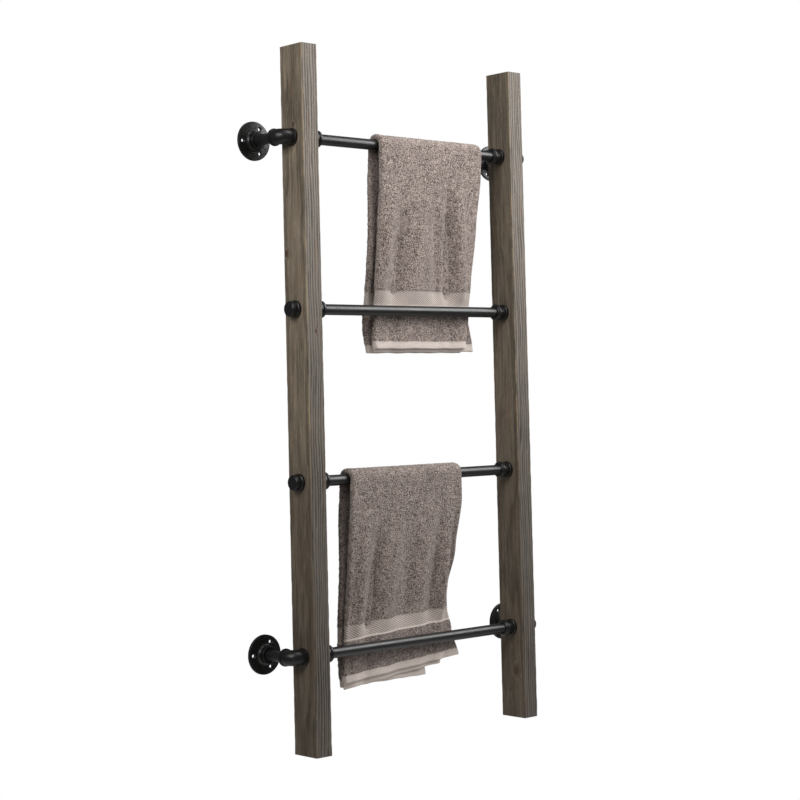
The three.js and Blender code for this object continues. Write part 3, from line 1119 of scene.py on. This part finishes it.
def shell_faces(rows, columns):
    """Quads of a thick cloth: its two sides and the strip round the rim."""
    index = np.arange(rows * columns).reshape(rows, columns)
    top = np.stack([index[:-1, :-1], index[1:, :-1], index[1:, 1:], index[:-1, 1:]], 2).reshape(-1, 4)
    bottom = top[:, ::-1] + rows * columns
    rim = np.concatenate([index[0, :-1], index[:-1, -1], index[-1, :0:-1], index[:0:-1, 0]])
    following = np.roll(rim, -1)
    other = rows * columns
    strip = np.stack([rim, following, following + other, rim + other], 1)
    return np.concatenate([top, bottom, strip])


def cloth_skins(towel, points, cloth):
    """The cloth's two sides, half its thickness either way and lumpy where there is pile."""
    normal = surface_normals(points)
    thickness = cloth_thickness(cloth[:, :, 2])
    piled = (thickness - FLAT_THICKNESS) / (TERRY_THICKNESS - FLAT_THICKNESS)
    taper = edge_taper(points.shape[:2])
    skins = []
    for side in (1, -1):
        lumps = 1 + PILE_LUMP * piled * noise_field(points, PILE_WAVES, side * towel["rung"])
        half = (thickness * taper * lumps / 2)[:, :, None]
        skins.append((points + side * normal * half).reshape(-1, 3))
    return np.concatenate(skins)


def add_towel(towel):
    node = towel["node"]
    points, cloth = towel_surface(towel)
    vertices = cloth_skins(towel, points, cloth)
    obj = new_object(node + "_cloth", vertices, shell_faces(*points.shape[:2]))
    place = obj.data.attributes.new("cloth_place", "FLOAT_VECTOR", "POINT")
    place.data.foreach_set("vector", np.tile(cloth.reshape(-1, 3), (2, 1)).ravel())
    tidy_mesh(obj, math.radians(80))
    material = terry_look(towel["cloth"], towel["painted_light_gain"], towel["twill_pitch"])
    finish_piece(obj, towel["body"], node, material)


# Studio


def add_camera():
    heading, tilt = CAMERA_HEADING, CAMERA_TILT
    forward = Vector(
        (math.sin(heading) * math.cos(tilt), math.cos(heading) * math.cos(tilt), math.sin(tilt))
    )
    level_right = Vector((math.cos(heading), -math.sin(heading), 0))
    level_up = level_right.cross(forward)
    right = level_right * math.cos(CAMERA_ROLL) + level_up * math.sin(CAMERA_ROLL)
    up = right.cross(forward)
    data = bpy.data.cameras.new("camera")
    data.lens = CAMERA_LENS
    data.sensor_width = CAMERA_SENSOR
    data.shift_y = CAMERA_SHIFT_Y
    camera = bpy.data.objects.new("camera", data)
    turn = Matrix((right, up, -forward)).transposed().to_4x4()
    camera.matrix_world = Matrix.Translation(CAMERA_PLACE) @ turn
    bpy.context.scene.collection.objects.link(camera)
    bpy.context.scene.camera = camera


def add_softbox(name, place, target, size, power):
    data = bpy.data.lights.new(name, "AREA")
    data.shape = "RECTANGLE"
    data.size, data.size_y = size
    data.energy = power
    light = bpy.data.objects.new(name, data)
    aim = (Vector(target) - Vector(place)).to_track_quat("-Z", "Y")
    light.matrix_world = Matrix.Translation(place) @ aim.to_matrix().to_4x4()
    bpy.context.scene.collection.objects.link(light)


def add_world():
    """An even white studio: pure white behind the object, with a softer light from all round."""
    world = bpy.data.worlds.new("studio")
    bpy.context.scene.world = world
    world.use_nodes = True
    tree = world.node_tree
    background = tree.nodes["Background"]
    background.inputs["Color"].default_value = colour(1, 1, 1)
    path = tree.nodes.new("ShaderNodeLightPath")
    level = tree.nodes.new("ShaderNodeMapRange")
    level.inputs["To Min"].default_value = AMBIENT
    level.inputs["To Max"].default_value = 1.0
    tree.links.new(path.outputs["Is Camera Ray"], level.inputs["Value"])
    tree.links.new(level.outputs[0], background.inputs["Strength"])


def add_floor():
    bottom = CAD_BOX[0].z - FLOOR_DROP
    half = FLOOR_SIZE / 2
    corners = [(x * half, y * half, bottom) for x, y in ((-1, -1), (1, -1), (1, 1), (-1, 1))]
    floor = new_object("floor", corners, [(0, 1, 2, 3)])
    floor.data.materials.append(floor_look())


def add_studio():
    add_camera()
    add_world()
    add_floor()
    for name, settings in SOFTBOXES.items():
        add_softbox(name, *settings)
    view = bpy.context.scene.view_settings
    view.view_transform = "Standard"
    view.look = "None"


# Assembly


def knots_on(side):
    """Each knot's centre on the post's surface and its radius."""
    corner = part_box(f"post_{side}")[0]
    knots = []
    for face, across, rung, above, radius in KNOTS[side]:
        centre = Vector((corner.x, corner.y, middle(f"rung_{rung}").z + above))
        centre[1 if face == "side" else 0] += across
        knots.append((centre, radius))
    return knots


def build_post(side, sign):
    centre = middle(f"post_{side}")
    pith = Vector((centre.x + sign * PITH_OUT, centre.y + PITH_BACK, 0))
    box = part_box(f"post_{side}")
    look = timber_look(f"timber_{side}", box, pith, knots_on(side), SIDE_SHADE_GAINS[side])
    add_post(side, sign, look)


def build_fittings(side, sign, number, pipe, iron):
    """Everything on one end of one rung."""
    end = f"{side}_{number}"
    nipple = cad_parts["nipple_" + end]
    nipple.data.materials.clear()
    nipple.data.materials.append(pipe)
    add_coupling("coupling_" + end, sign, iron)
    if number in ARM_RUNGS:
        add_elbow("elbow_" + end, "wall_arm_" + end, sign, iron)
        add_pipe("wall_arm_" + end, pipe)
        add_flange("flange_" + end, sign, iron)
    else:
        add_cap("cap_" + end, sign, iron)


def build():
    pipe, iron = pipe_look(), iron_look()
    for side, sign in SIDES.items():
        build_post(side, sign)
    for number in RUNGS:
        add_pipe(f"rung_{number}", pipe)
        for side, sign in SIDES.items():
            build_fittings(side, sign, number, pipe, iron)
    add_towel(UPPER)
    add_towel(LOWER)


add_studio()
build()
